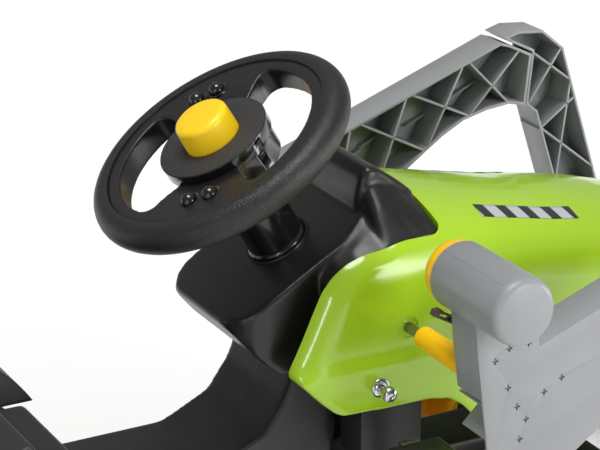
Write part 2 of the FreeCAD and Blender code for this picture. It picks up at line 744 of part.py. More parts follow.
def build_front_leg():
    """Lower half of the boom, from the elbow down to the bucket pivot."""
    p = Piece("front_leg_left", (0, arm_mid, 0))
    p.pad("XZ", arm_width, [[
        (342, 404), (356, 394), (448, 118), (458, 92), (478, 82), (500, 92), (506, 112),
        (390, 464), (362, 487), (330, 490), (311, 484), (321, 478), (348, 464), (348, 462),
    ]])
    p.round_edges(5, "y", lambda c: c.x > 350)
    p.hollow(wall, lambda n, c: n.y < -0.9)
    for loops in (
        [bar(346, 404, 388, 464)], [bar(352, 462, 400, 426)], [bar(362, 372, 408, 404)],
        [bar(402, 424, 386, 300)], [bar(386, 304, 444, 292)], [bar(444, 292, 412, 222)],
        [bar(362, 376, 436, 318)], [bar(412, 226, 468, 218)],
    ):
        p.pad("XZ", arm_width - 2, loops)
    p.rod(17, (446, -arm_width / 2, 199), arm_width - 1, "y")
    p.rod(14, (tip_x, -arm_width / 2, tip_z), arm_width - 1, "y")
    p.rod(tip_r + fit, (tip_x, -arm_width, tip_z), arm_width * 2, "y", cut=True)
    p.rod(4, (366, -arm_width, 430), arm_width * 2, "y", cut=True)
    mirrored("front_leg_right", p)


def build_boom_parts():
    """Elbow bolts, cross tube, handle barrels, end caps, trip pins and trip levers."""
    bolt = Piece("elbow_bolt", node=False)
    for x, z in ((296, 440), (366, 430)):
        bolt.rod(4, (x, arm_out - 12, z), 13, "y")
        bolt.rod(8, (x, arm_out, z), 5, "y")
    both_sides("elbow_bolts", bolt)

    tube = Piece("cross_tube")
    tube.rod(12, (446, -arm_in, 199), arm_in * 2, "y")
    tube.rod(10, (446, -arm_in - 1, 199), arm_in * 2 + 2, "y", cut=True)

    grip = Piece("handle_barrel", node=False)
    grip.rod(grip_r, (grip_x, grip_in, grip_z), grip_out - grip_in, "y")
    grip.rod(grip_r - 5, (grip_x, grip_in - 1, grip_z), grip_out - grip_in - 3, "y", cut=True)
    grip.box((-80, 30), (arm_in, arm_out), (380, grip_z - 22), cut=True)
    both_sides("handle_barrels", grip)

    cap = Piece("handle_cap", node=False)
    cap.rod(grip_r - 5, (grip_x, grip_in, grip_z), 12, "y")
    cap.rod(grip_r - 2, (grip_x, grip_in - 18, grip_z), 18, "y")
    both_sides("handle_caps", cap)

    pin = Piece("trip_pin", node=False)
    pin.rod(3, (-15, 219, 388), arm_out - wall - 219, "y")
    both_sides("trip_pins", pin)

    lever = Piece("trip_lever_left", (0, 225, 0))
    lever.pad("XZ", 8, [[
        (-8, 382), (-8, 393), (-36, 396), (-46, 401), (-53, 407), (-59, 407), (-61, 402),
        (-50, 396), (-38, 389), (-34, 382),
    ]])
    lever.pocket("XZ", 10, [[(-55, 403.5), (-50, 401.5), (-42, 397), (-44, 395.5), (-51, 398.8), (-56, 401.8)]])
    lever.rod(3 + fit, (-15, -8, 388), 16, "y", cut=True)
    mirrored("trip_lever_right", lever)


def build_bucket():
    """Digging bucket shell, its wear edge and the pins it swings on."""
    p = Piece("bucket")
    p.pad("XZ", bucket_half * 2, [[
        (470, bucket_low), (bucket_front, bucket_low), (bucket_front, bucket_low + 8), (474, 180),
        (452, 172), (440, 140), (440, 45), (450, 18),
    ]])
    p.hollow(wall, lambda n, c: n.x > 0.5 and n.z > 0.5)
    p.rod(tip_r, (tip_x, -bucket_half - 5, tip_z), bucket_half * 2 + 10, "y", cut=True)
    edge = Piece("bucket_edge")
    edge.box((556, bucket_front), (-bucket_half, bucket_half), (bucket_low - 3, bucket_low))
    pin = Piece("bucket_pin", node=False)
    pin.rod(tip_r, (tip_x, bucket_half - 8, tip_z), arm_out - bucket_half + 10, "y")
    pin.rod(11, (tip_x, bucket_half - 10, tip_z), 7, "y")
    pin.rod(11, (tip_x, bucket_half, tip_z), 7 - gap, "y")
    both_sides("bucket_pins", pin)


build_main_frame()
build_cowl()
build_hood()
build_hood_trim()
build_loader_mount()
build_hood_bolts()
build_steering()
build_tie_rods()
build_knuckle()
build_wheel("front", front_x, front_r, front_in, front_out, king_r + fit, king_r + fit)
build_wheel("rear", rear_x, rear_r, rear_in, rear_out, rear_shaft, rear_shaft + fit)
build_rear_axle()
build_sprocket("rear_sprocket", rear_x, rear_r, pitch_rear, 12, rear_shaft)
build_chain()
build_crank()
build_fender()
build_seat()
build_hitch()
build_loader_arm()
build_front_leg()
build_boom_parts()
build_bucket()
doc.recompute()

# ---------------------------------------------------------------- checks and export
for thing in doc.Objects:
    bad = [word for word in thing.State if word in ("Invalid", "Error")]
    if bad:
        raise RuntimeError("%s did not build: %s" % (thing.Label, bad))
os.makedirs("parts", exist_ok=True)
for name, thing in nodes:
    if thing.Shape.isNull() or not thing.Shape.isValid():
        raise RuntimeError(name + " has no valid shape")
    thing.Shape.exportStep("parts/%s.step" % name)
print(len(nodes), "sub-parts written")
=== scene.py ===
"""Ride-on pedal digger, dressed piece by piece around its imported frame."""

import math

import bmesh
import bpy
from mathutils import Matrix, Vector


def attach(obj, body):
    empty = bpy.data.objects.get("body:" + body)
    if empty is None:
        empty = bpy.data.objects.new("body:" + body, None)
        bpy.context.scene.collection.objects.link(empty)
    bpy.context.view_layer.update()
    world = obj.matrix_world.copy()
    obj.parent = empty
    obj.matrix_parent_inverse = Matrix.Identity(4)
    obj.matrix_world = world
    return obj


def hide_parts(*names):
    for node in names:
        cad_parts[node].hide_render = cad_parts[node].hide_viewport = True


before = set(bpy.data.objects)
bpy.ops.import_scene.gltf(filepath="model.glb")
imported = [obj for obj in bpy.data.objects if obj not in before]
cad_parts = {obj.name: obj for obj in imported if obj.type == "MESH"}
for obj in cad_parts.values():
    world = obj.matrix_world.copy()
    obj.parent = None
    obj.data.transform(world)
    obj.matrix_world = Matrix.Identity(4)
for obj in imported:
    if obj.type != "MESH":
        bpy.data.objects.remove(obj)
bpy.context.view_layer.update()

# ---------------------------------------------------------------- main frame
# One hollow beam of black polyethylene with a saddle for the legs and a neck
# for the dashboard.  It is blow moulded, so its edges are soft, a parting line
# runs down its middle and its skin has a fine pebble grain.
mm = 0.001


class Wire:
    """One value in a material, so that shader maths reads as plain sums."""

    def __init__(self, tree, socket=None):
        self.tree, self.socket = tree, socket

    def node(self, kind, settings=None, sockets=None, output=0):
        made = self.tree.nodes.new("ShaderNode" + kind)
        for word, value in (settings or {}).items():
            if word == "stops":
                steps = made.color_ramp.elements
                for step, (spot, tone) in zip([steps[0], steps[1]], value):
                    step.position, step.color = spot, (tone, tone, tone, 1)
                for spot, tone in value[2:]:
                    steps.new(spot).color = (tone, tone, tone, 1)
            else:
                setattr(made, word, value)
        for key, value in (sockets or {}).items():
            if isinstance(value, Wire):
                self.tree.links.new(value.socket, made.inputs[key])
            else:
                made.inputs[key].default_value = value
        return Wire(self.tree, made.outputs[output])

    def sum(self, operation, first, second=0.0, clamp=False):
        return self.node("Math", {"operation": operation, "use_clamp": clamp},
                         {0: first, 1: second})

    def __add__(self, other):
        return self.sum("ADD", self, other)

    def __sub__(self, other):
        return self.sum("SUBTRACT", self, other)

    def __rsub__(self, other):
        return self.sum("SUBTRACT", other, self)

    def __mul__(self, other):
        return self.sum("MULTIPLY", self, other)

    def __truediv__(self, other):
        return self.sum("DIVIDE", self, other)

    def __pow__(self, other):
        return self.sum("POWER", self, other)

    __radd__, __rmul__ = __add__, __mul__

    def between(self, low, high):
        """0 below low, 1 above high and smooth from one to the other."""
        return self.node("MapRange", {"interpolation_type": "SMOOTHSTEP"},
                         {0: self, 1: low, 2: high})

    def blend(self, first, second):
        """Colour that goes from the first to the second as this value rises."""
        return self.node("Mix", {"data_type": "RGBA"}, {0: self, 6: first, 7: second}, 2)

    def along(self, axis):
        return self.node("SeparateXYZ", {}, {0: self}, "XYZ".index(axis))

    def noise(self, size, detail=2.0):
        """Cloudy pattern with lumps about this many millimetres across."""
        return self.node("TexNoise", {}, {"Vector": self, "Scale": 1 / (size * mm), "Detail": detail})

    def cells(self, size, feature="F1"):
        return self.node("TexVoronoi", {"feature": feature},
                         {"Vector": self, "Scale": 1 / (size * mm)})


def tone(colour, factor):
    """A colour given in 0 to 255 steps, made lighter or darker, for a shader."""
    channel = [c / 255 for c in colour]
    linear = [c / 12.92 if c < 0.04045 else ((c + 0.055) / 1.055) ** 2.4 for c in channel]
    return tuple(min(1.0, c * factor) for c in linear) + (1.0,)


def start_material(name, fixed):
    """A material with its surface shader; returns it, the shader and the place."""
    material = bpy.data.materials.new(name)
    material.use_nodes = True
    tree = material.node_tree
    shader = tree.nodes["Principled BSDF"]
    for word, value in fixed.items():
        shader.inputs[word].default_value = value
    return material, shader, Wire(tree).node("TexCoord", output="Object")


def feed(shader, word, value):
    value.tree.links.new(value.socket, shader.inputs[word])


def raise_grain(shader, height, strength, depth):
    """Turn a height pattern into relief of this depth in millimetres."""
    bump = height.node("Bump", {}, {"Strength": strength, "Distance": depth * mm, "Height": height})
    feed(shader, "Normal", bump)


def moulded(name, colour, roughness, grain=0.9, strength=0.25, drift=0.12, seam=False, **fixed):
    """Moulded plastic: colour that drifts, an uneven sheen and a fine grain."""
    material, shader, place = start_material(name, {w.replace("_", " "): v for w, v in fixed.items()})
    cloud = place.noise(70)
    smear = place.noise(14, 4)
    pebble = place.noise(grain, 3)
    feed(shader, "Base Color", (cloud * 0.7 + smear * 0.3).blend(
        tone(colour, 1 - drift), tone(colour, 1 + drift)))
    feed(shader, "Roughness", roughness + (smear - 0.5) * 0.16 + (pebble - 0.5) * 0.1)
    if seam:
        line = place.along("Y").sum("ABSOLUTE", place.along("Y")).between(0.0004, 0.0012)
        pebble = pebble * 0.25 + (1 - line) * 0.8
        raise_grain(shader, pebble, 0.6, 0.5)
    else:
        raise_grain(shader, pebble, strength, 0.12)
    return material


def only(piece):
    bpy.ops.object.select_all(action="DESELECT")
    piece.select_set(True)
    bpy.context.view_layer.objects.active = piece


def edit(piece):
    only(piece)
    bpy.ops.object.mode_set(mode="EDIT")
    bpy.ops.mesh.select_all(action="SELECT")


def leave():
    bpy.ops.object.mode_set(mode="OBJECT")


def finish_modifiers(piece):
    only(piece)
    for modifier in list(piece.modifiers):
        bpy.ops.object.modifier_apply(modifier=modifier.name)
    return piece


def melted(piece, voxel, rounds, factor=0.5):
    """Fuse all that overlaps in a piece into one skin and soften it."""
    fuse = piece.modifiers.new("fuse", "REMESH")
    fuse.mode, fuse.voxel_size = "VOXEL", voxel * mm
    ease = piece.modifiers.new("ease", "SMOOTH")
    ease.factor, ease.iterations = factor, rounds
    finish_modifiers(piece)
    bpy.ops.object.shade_smooth()
    return piece


def eased(piece, width=0.6, segments=2, angle=32):
    """Break the sharp edges of a piece and shade it smooth between them."""
    bevel = piece.modifiers.new("bevel", "BEVEL")
    bevel.width, bevel.segments = width * mm, segments
    bevel.limit_method, bevel.angle_limit = "ANGLE", math.radians(angle)
    bevel.harden_normals = False
    finish_modifiers(piece)
    bpy.ops.object.shade_smooth_by_angle(angle=math.radians(40))
    return piece


def copy_of(node, name):
    """A merged copy of a frame node's mesh, ready to be worked on."""
    source = bpy.data.objects[node]
    piece = bpy.data.objects.new(name, source.data.copy())
    piece.data.name = name
    piece.data.materials.clear()
    bpy.context.scene.collection.objects.link(piece)
    piece.matrix_world = source.matrix_world
    edit(piece)
    bpy.ops.mesh.remove_doubles(threshold=1e-5)
    bpy.ops.mesh.dissolve_limited(angle_limit=math.radians(1))
    leave()
    return piece


def settle(piece, body, material, slot, *nodes):
    """Give a finished piece its material, its body and the nodes it stands for."""
    piece.data.materials.clear()
    piece.data.materials.append(material)
    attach(piece, body)
    if nodes:
        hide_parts(*nodes)
    return piece


black_frame = moulded("black_blow_moulded", (25, 25, 24), 0.46, grain=1.6, seam=True)
beam = melted(copy_of("main_frame", "frame_beam"), 3.0, 16)
settle(beam, "chassis", black_frame, "black_plastic", "main_frame")

# ---------------------------------------------------------------- front axle
# Zinc plated steel: each kingpin turns in the end of the front beam and carries
# a bent stub axle, and flat tie rods with slotted eyes join both to the column.
def plated(name, colour=(186, 187, 184), roughness=0.3, streak=0.5):
    """Plated steel: bright metal with cloudy patches and fine drawing lines."""
    material, shader, place = start_material(name, {"Metallic": 1.0})
    cloud = place.noise(9, 4)
    lines = place.node("Mapping", {}, {0: place, "Scale": (1, 0.08, 1)}).noise(0.35, 2)
    feed(shader, "Base Color", cloud.blend(tone(colour, 0.72), tone(colour, 1.08)))
    feed(shader, "Roughness", roughness + (cloud - 0.5) * 0.25 + (lines - 0.5) * 0.2)
    raise_grain(shader, lines, streak, 0.03)
    return material


def eased_nodes(body, material, slot, width, names):
    """Stand softened copies in for the frame nodes named."""
    for node in names.split():
        piece = eased(copy_of(node, node.replace("_", ".", 1)), width)
        settle(piece, body, material, slot, node)


steel = plated("plated_steel")
black_part = moulded("black_injection_moulded", (30, 30, 30), 0.42, grain=0.8)
for side in ("left", "right"):
    eased_nodes("knuckle_" + side, steel, "steel", 0.7, "steering_knuckle_" + side)
eased_nodes("track_rods", black_part, "black_plastic", 0.8, "tie_rods")

# ---------------------------------------------------------------- drive
# A steel axle with a toothed sprocket takes the chain from the pedal crank.  A
# black case bolted to the frame hides most of the chain from small fingers.
chain_steel = plated("chain_steel", (120, 118, 112), 0.38)
eased_nodes("rear_drive", steel, "steel", 0.6, "rear_axle rear_axle_caps")
eased_nodes("rear_drive", chain_steel, "steel", 0.3, "rear_sprocket")
eased_nodes("crank", chain_steel, "steel", 0.3, "crank_sprocket")
eased_nodes("crank", steel, "steel", 0.7, "pedal_crank")
eased_nodes("chassis", chain_steel, "steel", 0.4, "chain")
eased_nodes("chassis", black_part, "black_plastic", 1.2, "chain_case")

# ---------------------------------------------------------------- pedals
# Black plastic pedals, one turning on each crank pin, with ribbed treads.
for side in ("left", "right"):
    eased_nodes("pedal_" + side, black_part, "black_plastic", 1.2, "pedal_" + side)

# ---------------------------------------------------------------- wheels
# Blow moulded black tyres with a field tread, pressed over yellow hubs.  The
# front hubs run loose on the stub axles; the left rear hub is keyed to the axle.
tyre_black = moulded("tyre_black", (38, 38, 37), 0.62, grain=2.2, strength=0.4)
hub_yellow = moulded("hub_yellow", (249, 186, 16), 0.34, grain=1.2, strength=0.12, drift=0.05)


def place_on(piece, rows):
    """Set a piece down by a matrix and fix its place into its mesh."""
    piece.matrix_world = rows
    only(piece)
    bpy.ops.object.transform_apply(location=True, rotation=True, scale=True)


def join(piece, *others):
    only(piece)
    for other in others:
        other.select_set(True)
    bpy.ops.object.join()
    return piece


def drawn(name, points, plane="XZ", at=0.0, closed=True):
    """Draw an outline in millimetres by extruding a point from corner to corner."""
    bpy.ops.object.select_all(action="DESELECT")
    bpy.ops.mesh.primitive_plane_add(size=mm)
    piece = bpy.context.object
    piece.name = piece.data.name = name
    bpy.ops.object.mode_set(mode="EDIT")
    bpy.ops.mesh.select_mode(type="VERT")
    bpy.ops.mesh.merge(type="CENTER")
    order = {"XZ": lambda a, b: (a, at, b), "XY": lambda a, b: (a, b, at), "YZ": lambda a, b: (at, a, b)}
    spots = [Vector(order[plane](a, b)) * mm for a, b in points]
    bpy.ops.transform.translate(value=spots[0])
    for here, there in zip(spots, spots[1:] + spots[:1] * closed):
        bpy.ops.mesh.extrude_vertices_move(TRANSFORM_OT_translate={"value": there - here})
    bpy.ops.mesh.select_all(action="SELECT")
    bpy.ops.mesh.remove_doubles(threshold=1e-6)
    return piece


def slab(name, points, low, high, plane="XZ", corners=0.0, steps=4):
    """A drawn outline filled and pulled out; its corners may be rounded first."""
    piece = drawn(name, points, plane, low)
    if corners:
        bpy.ops.mesh.bevel(offset=corners * mm, segments=steps, affect="VERTICES")
        bpy.ops.mesh.select_all(action="SELECT")
    bpy.ops.mesh.edge_face_add()
    travel = Vector({"XZ": (0, 1, 0), "XY": (0, 0, 1), "YZ": (1, 0, 0)}[plane]) * (high - low) * mm
    bpy.ops.mesh.extrude_region_move(TRANSFORM_OT_translate={"value": travel})
    bpy.ops.mesh.select_all(action="SELECT")
    bpy.ops.mesh.normals_make_consistent(inside=False)
    leave()
    return piece


def turned(name, profile, steps=96, closed=True):
    """Spin a profile of radius and height about the upright axis."""
    piece = drawn(name, profile, "XZ", 0.0, closed)
    bpy.ops.mesh.spin(steps=steps, angle=2 * math.pi, center=(0, 0, 0), axis=(0, 0, 1))
    bpy.ops.mesh.select_all(action="SELECT")
    bpy.ops.mesh.remove_doubles(threshold=1e-6)
    bpy.ops.mesh.normals_make_consistent(inside=False)
    leave()
    bpy.ops.object.shade_smooth_by_angle(angle=math.radians(38))
    return piece


def twin(piece, name):
    """The same piece for the other side, with a mesh of its own."""
    other = piece.copy()
    other.data = piece.data.copy()
    other.name = other.data.name = name
    bpy.context.scene.collection.objects.link(other)
    place_on(other, Matrix.Scale(-1, 4, (0, 1, 0)))
    edit(other)
    bpy.ops.mesh.flip_normals()
    leave()
    return other


sideways = Matrix.Rotation(math.radians(-90), 4, "X")


def tyre(name, x, radius, inner, outer, lugs):
    """A hollow tyre with slanted lugs round both shoulders."""
    rim, deep = radius * 0.66, radius - 6
    body = turned(name, [
        (rim, inner + 4), (radius * 0.74, inner + 1.2), (radius * 0.80, inner + 2.4),
        (radius * 0.86, inner + 0.6), (radius * 0.91, inner + 2.5), (deep - 4, inner + 7),
        (deep - 1, inner + 12), (deep, inner + 20), (deep, outer - 20), (deep - 1, outer - 12),
        (deep - 4, outer - 7), (radius * 0.91, outer - 2.5), (radius * 0.86, outer - 0.6),
        (radius * 0.80, outer - 2.4), (radius * 0.74, outer - 1.2), (rim, outer - 4),
        (rim, outer - 14), (radius - 14, outer - 14), (radius - 14, inner + 14), (rim, inner + 14),
    ], steps=120)
    middle = (inner + outer) / 2
    block = slab("lug", [(-4.5, inner + 2.5), (3.5, inner + 2.5), (11, middle + 2), (2, middle + 2)],
                 deep - 5, radius - 0.4, "YZ")
    eased(block, 1.4)
    over = Matrix.Translation((0, 0, 2 * middle * mm)) @ Matrix.Rotation(math.pi, 4, "X")
    blocks = []
    for step in range(2 * lugs):
        lug = block.copy()
        lug.data = block.data.copy()
        bpy.context.scene.collection.objects.link(lug)
        turn = Matrix.Rotation(math.pi * step / lugs, 4, "Z")
        place_on(lug, turn @ over if step % 2 else turn)
        blocks.append(lug)
    bpy.data.objects.remove(block)
    join(body, *blocks)
    place_on(body, Matrix.Translation((x * mm, 0, radius * mm)) @ sideways)
    return body


def hub(name, node, x, radius, outer, spokes):
    """The turned hub with raised spokes between its boss and its rim."""
    body = copy_of(node, name)
    rim = radius * 0.66
    spoke = slab("spoke", [(22, -5), (rim - 7, -8), (rim - 7, 8), (22, 5)], outer - 18, outer - 9, "XY")
    eased(spoke, 2.0, 3)
    made = []
    for step in range(spokes):
        rib = spoke.copy()
        rib.data = spoke.data.copy()
        bpy.context.scene.collection.objects.link(rib)
        place_on(rib, Matrix.Translation((x * mm, 0, radius * mm)) @ sideways
                 @ Matrix.Rotation(2 * math.pi * step / spokes, 4, "Z"))
        made.append(rib)
    bpy.data.objects.remove(spoke)
    eased(body, 1.0, 2)
    return join(body, *made)


for word, x, radius, inner, outer, lugs, bodies in (
    ("front", 215, 95, 145, 205, 18, ("front_wheel_left", "front_wheel_right")),
    ("rear", -430, 145, 190, 265, 22, ("rear_drive", "rear_wheel_right")),
):
    left = tyre(word + ".tyre.left", x, radius, inner, outer, lugs)
    right = twin(left, word + ".tyre.right")
    left_hub = hub(word + ".hub.left", word + "_hub_left", x, radius, outer, 6)
    right_hub = twin(left_hub, word + ".hub.right")
    for side, body, skin, middle in (
        ("left", bodies[0], left, left_hub), ("right", bodies[1], right, right_hub),
    ):
        settle(skin, body, tyre_black, "tyre", word + "_tyre_" + side)
        settle(middle, body, hub_yellow, "yellow", word + "_hub_" + side)
for side in ("left", "right"):
    eased_nodes("knuckle_" + side, black_part, "grey", 1.0, "front_cap_" + side)

# ---------------------------------------------------------------- rear end
# Mudguards and the tow hitch are black injection mouldings bolted to the frame.
# A steel pin on a ring drops through the hitch.
eased_nodes("chassis", black_part, "black_plastic", 2.0, "fender_left fender_right")
eased_nodes("chassis", steel, "steel", 1.0, "tow_hitch")
eased_nodes("hitch_pin", steel, "steel", 0.5, "hitch_pin")

# ---------------------------------------------------------------- seat
# A blow moulded bucket seat on a steel plate that slides along the frame.
seat_black = moulded("seat_black", (36, 36, 35), 0.5, grain=1.4, strength=0.3)
seat = melted(copy_of("seat_shell", "seat.shell"), 2.6, 14)
settle(seat, "seat", seat_black, "black_plastic", "seat_shell")
eased_nodes("seat", steel, "black_plastic", 1.0, "seat_plate")

# ---------------------------------------------------------------- dashboard
# The dashboard is a black blow moulded cowl: a panel square to the column, a
# rounded hump ahead of it and a shoulder each side that tucks into the bonnet.
black_satin = moulded("black_satin", (24, 23, 22), 0.34, grain=0.7, strength=0.16, drift=0.1)


def over_middle(points):
    """Add the mirrored half to an outline drawn for one side."""
    return points + [(x, -y) for x, y in reversed(points)]


def meet(piece, cutter, operation="DIFFERENCE"):
    """Cut, cross or add one closed piece with another, which is used up."""
    change = piece.modifiers.new("change", "BOOLEAN")
    change.object, change.operation, change.solver = cutter, operation, "EXACT"
    finish_modifiers(piece)
    bpy.data.objects.remove(cutter)
    return piece


dash = slab("dashboard.cowl", [
    (-66, 300), (-128, 300), (-146, 316), (-160, 332), (-173, 347), (-175.5, 352.5), (-170, 357),
    (-92, 402), (-32, 437.5), (-22, 443), (-10, 443), (-10, 372), (-66, 372),
], -86, 86)
plan = slab("plan", over_middle([
    (-176, 40), (-173, 54), (-165, 66), (-154, 73.5), (-140, 76), (-64, 75.5), (-48, 68),
    (-32, 58), (0, 57), (4, 50),
]), 290, 500, "XY")
meet(dash, plan, "INTERSECT")
hump = slab("hump", [
    (-36, 420), (-34.5, 452), (-31, 468), (-24, 477), (-14, 476), (-1, 467), (14, 456), (26, 446),
    (28, 440), (28, 390), (-36, 390),
], -52, 52)
eased(hump, 7, 4, 60)


def loft(name, stations):
    """Bridge cross sections drawn at each distance along the machine."""
    loops = []
    for x, points in stations:
        loops.append(drawn(name, points, "YZ", x))
        leave()
    piece = join(*loops)
    edit(piece)
    bpy.ops.mesh.bridge_edge_loops()
    bpy.ops.mesh.select_all(action="SELECT")
    bpy.ops.mesh.fill_holes(sides=0)
    bpy.ops.mesh.select_all(action="SELECT")
    bpy.ops.mesh.normals_make_consistent(inside=False)
    leave()
    return piece


def shoulder(inner, top, outer, side):
    """A flat-topped section that slopes from its inner edge to its sides."""
    half = [(-inner, top), (-(inner + outer) / 2, (top + side) / 2 + 1.5), (-outer, side), (-outer, 372)]
    return half + [(-y, z) for y, z in reversed(half)]


shoulders = loft("shoulders", [
    (-88, shoulder(74, 396, 90, 380)), (-76, shoulder(74, 409, 96, 394)), (-60, shoulder(73, 419, 98, 406)),
    (-46, shoulder(66, 427.5, 98, 410)), (-33, shoulder(57, 436, 98, 413)), (-30, shoulder(52, 452, 98, 414)),
    (-26, shoulder(46, 465, 98, 415)), (-20, shoulder(42, 472, 98, 416)), (-5, shoulder(41, 467, 98, 418.5)),
    (12, shoulder(41, 455, 98, 420.5)), (27, shoulder(41, 441, 98, 421)),
])


def soften_edges(piece, test, width, steps, profile=0.5):
    """Round the chosen edges of a piece; the test is given an edge's two ends."""
    edit(piece)
    bpy.ops.mesh.select_all(action="DESELECT")
    bpy.ops.mesh.select_mode(type="EDGE")
    mesh = bmesh.from_edit_mesh(piece.data)
    for line in mesh.edges:
        line.select_set(bool(test(*(end.co / mm for end in line.verts))))
    bmesh.update_edit_mesh(piece.data)
    bpy.ops.mesh.bevel(offset=width * mm, segments=steps, profile=profile, affect="EDGES")
    leave()


join(dash, hump, shoulders)
melted(dash, 1.6, 26)

wheel_centre, column_tilt = (-0.15, 0, 0.5), 30.6
lean = Matrix.Translation(wheel_centre) @ Matrix.Rotation(math.radians(-column_tilt), 4, "Y")
collar = turned("collar", [
    (30.4, -118), (33, -118), (33, -112.8), (32.6, -112.2), (31.6, -112), (30.4, -112.6),
])
place_on(collar, lean)
join(dash, collar)
settle(dash, "chassis", black_satin, "black_plastic", "dashboard_cowl")

# ---------------------------------------------------------------- bonnet
# One glossy lime shell, crowned across the top and rounded into its sides, with
# a faint step above its lower band.  It is screwed to a carrier inside.
lime, shader, place = start_material("lime_gloss", {"Coat Weight": 0.35, "Coat Roughness": 0.06})
cloud = place.noise(120)
dust = place.noise(3.2, 4)
feed(shader, "Base Color", (cloud * 0.8 + dust * 0.2).blend(
    tone((156, 196, 28), 0.95), tone((164, 204, 40), 1.04)))
feed(shader, "Roughness", 0.2 + (dust - 0.5) * 0.12 + (cloud - 0.5) * 0.1)
raise_grain(shader, place.noise(5.5, 1), 0.16, 0.12)

half_section = [
    (0, 0), (-22, -0.8), (-44, -3.4), (-62, -7.6), (-78, -12.4), (-90, -17.2), (-98, -22), (-106, -30.5),
    (-112, -42), (-115.4, -56), (-116.8, -74), (-117, -96), (-116.2, -124), (-115.8, -128.5),
    (-118, -131.5), (-118, -160), (-118, -300),
]
ridge = [(-150, 445), (28, 445), (60, 437), (100, 428), (168, 414), (215, 407), (270, 396), (306, 386),
         (323, 374), (330, 360)]


def crowned(name, spine, inward=0.0):
    """Pull the bonnet's cross section along its ridge, made smaller by so much."""
    half = [(y * (118 - inward) / 118, z - inward) for y, z in half_section]
    across = half + [(-y, z) for y, z in reversed(half[1:])]
    piece = drawn(name, [(y, z + spine[0][1]) for y, z in across], "YZ", spine[0][0])
    bpy.ops.mesh.edge_face_add()
    for (x0, z0), (x1, z1) in zip(spine, spine[1:]):
        step = ((x1 - x0) * mm, 0, (z1 - z0) * mm)
        bpy.ops.mesh.extrude_region_move(TRANSFORM_OT_translate={"value": step})
    bpy.ops.mesh.select_all(action="SELECT")
    bpy.ops.mesh.normals_make_consistent(inside=False)
    leave()
    return piece


bonnet = crowned("bonnet", ridge)
side_view = slab("side view", [
    (-137.5, 313), (-124, 300), (-106, 281), (-93, 269.5), (-84, 265), (-58, 264), (6, 263), (30, 258),
    (46, 247), (58, 232), (72, 206), (330, 206), (330, 460), (33, 460), (6, 440), (-12, 427), (-34, 421.5),
    (-58, 419), (-77, 413), (-92, 403), (-104, 389), (-114, 368), (-125, 344), (-134, 326),
], -118, 118)
soften_edges(side_view, lambda a, b: abs(a.y - b.y) < 1 and max(a.x, b.x) < 7 and min(a.z, b.z) > 312, 36, 9)
meet(bonnet, side_view, "INTERSECT")
meet(bonnet, crowned("hollow", [(20, 445)] + ridge[1:7] + [(300, 386), (316, 374), (322, 360)], 7))
melted(bonnet, 2.9, 12)
meet(bonnet, slab("pocket", [(-200, -100), (28, -100), (28, 100), (-200, 100)], 240, 520, "XY", 12, 6))
for sign in (1, -1):
    for x, z, radius, deep in ((-18, 342, 10.5, 115.6), (-48, 288, 4.2, 90)):
        bpy.ops.mesh.primitive_cylinder_add(
            vertices=48, radius=radius * mm, depth=0.03, rotation=(math.pi / 2, 0, 0),
            location=(x * mm, sign * (deep * mm + 0.015), z * mm))
        meet(bonnet, bpy.context.object)
bpy.ops.object.shade_smooth_by_angle(angle=math.radians(40))
settle(bonnet, "chassis", lime, "lime", "hood_shell")

# ---------------------------------------------------------------- bonnet trim
# Grille and lamps clip into the nose.  A bolt with a domed head and a wide washer
# holds each side, and a stripe label is stuck along the shoulder.
zinc = plated("zinc_bright", (205, 208, 210), 0.22, 0.3)
eased_nodes("chassis", black_part, "black_plastic", 1.0, "front_grille")
lens, shader, place = start_material("lamp_lens", {"Coat Weight": 0.6, "Coat Roughness": 0.05})
prisms = place.cells(4).between(0.05, 0.5)
feed(shader, "Base Color", prisms.blend(tone((236, 238, 232), 1), tone((190, 196, 196), 1)))
feed(shader, "Roughness", 0.12 + place.noise(2) * 0.12)
raise_grain(shader, place.cells(4), 0.6, 0.6)
eased_nodes("chassis", lens, "lens", 2.5, "headlight_lenses")
eased_nodes("chassis", black_part, "black_plastic", 0.8, "loader_carrier")


def turned_on(name, profile, x, y, z, steps=48, about=sideways):
    """Turn a profile and lay its axis across the machine, pointing left."""
    piece = turned(name, profile, steps)
    place_on(piece, Matrix.Translation((x * mm, y * mm, z * mm)) @ about)
    return piece


bolt = turned_on("hood.bolt.left", [
    (0, -20), (3.8, -20), (3.8, 12.5), (6.2, 12.6), (7.2, 13.4), (7.4, 15), (7.4, 17.6), (6.9, 19.6),
    (5.4, 21.2), (3.2, 21.9), (2.6, 21.4), (2.2, 19.6), (0, 19.6),
], -48, 118, 288)
washer = turned_on("hood.washer.left", [
    (4.1, 0.1), (9.2, 0.1), (9.4, 0.7), (9.1, 1.5), (7.6, 1.9), (6.8, 1.5), (5.6, 1.5), (5.0, 2.1),
    (4.1, 2.1),
], -48, 118, 288)
settle(twin(bolt, "hood.bolt.right"), "chassis", zinc, "steel")
settle(twin(washer, "hood.washer.right"), "chassis", zinc, "steel")
settle(bolt, "chassis", zinc, "steel", "hood_bolts")
settle(washer, "chassis", zinc, "steel", "hood_washers")

